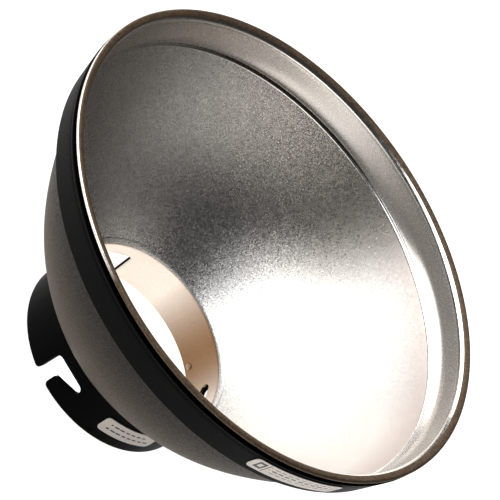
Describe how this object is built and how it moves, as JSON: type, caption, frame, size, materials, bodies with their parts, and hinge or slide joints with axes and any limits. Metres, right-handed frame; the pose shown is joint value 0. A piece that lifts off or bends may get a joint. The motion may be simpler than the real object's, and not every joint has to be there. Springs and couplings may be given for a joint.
{
  "type": "studio flash reflector",
  "caption": "Round spun-metal reflector dish for a studio flash head, with a rolled lip, a black shoulder band and a slotted bayonet collar.",
  "frame": {"origin": "centre of the mount collar's flat back face", "axes": "+Z along the dish's axis, out of its mouth; +X through the middle of one bayonet entry"},
  "size_m": [0.23, 0.23, 0.1212],
  "materials": {
    "bowl_metal": "blasted satin inside, taupe metallic paint outside and over the lip",
    "band_black": "black, fine textured",
    "collar_black": "black, semi-matte paint on steel",
    "sleeve_metal": "plain smooth aluminium",
    "rivet_metal": "plain, domed",
    "label_foil": "satin silver foil sticker"
  },
  "bodies": {
    "root": {"reflector_bowl": "bowl_metal", "shoulder_band": "band_black", "mount_collar": "collar_black", "neck_sleeve": "sleeve_metal", "sleeve_rivet_1": "rivet_metal", "sleeve_rivet_2": "rivet_metal", "sleeve_rivet_3": "rivet_metal", "collar_label": "label_foil", "band_label": "label_foil"}
  },
  "joints": []
}
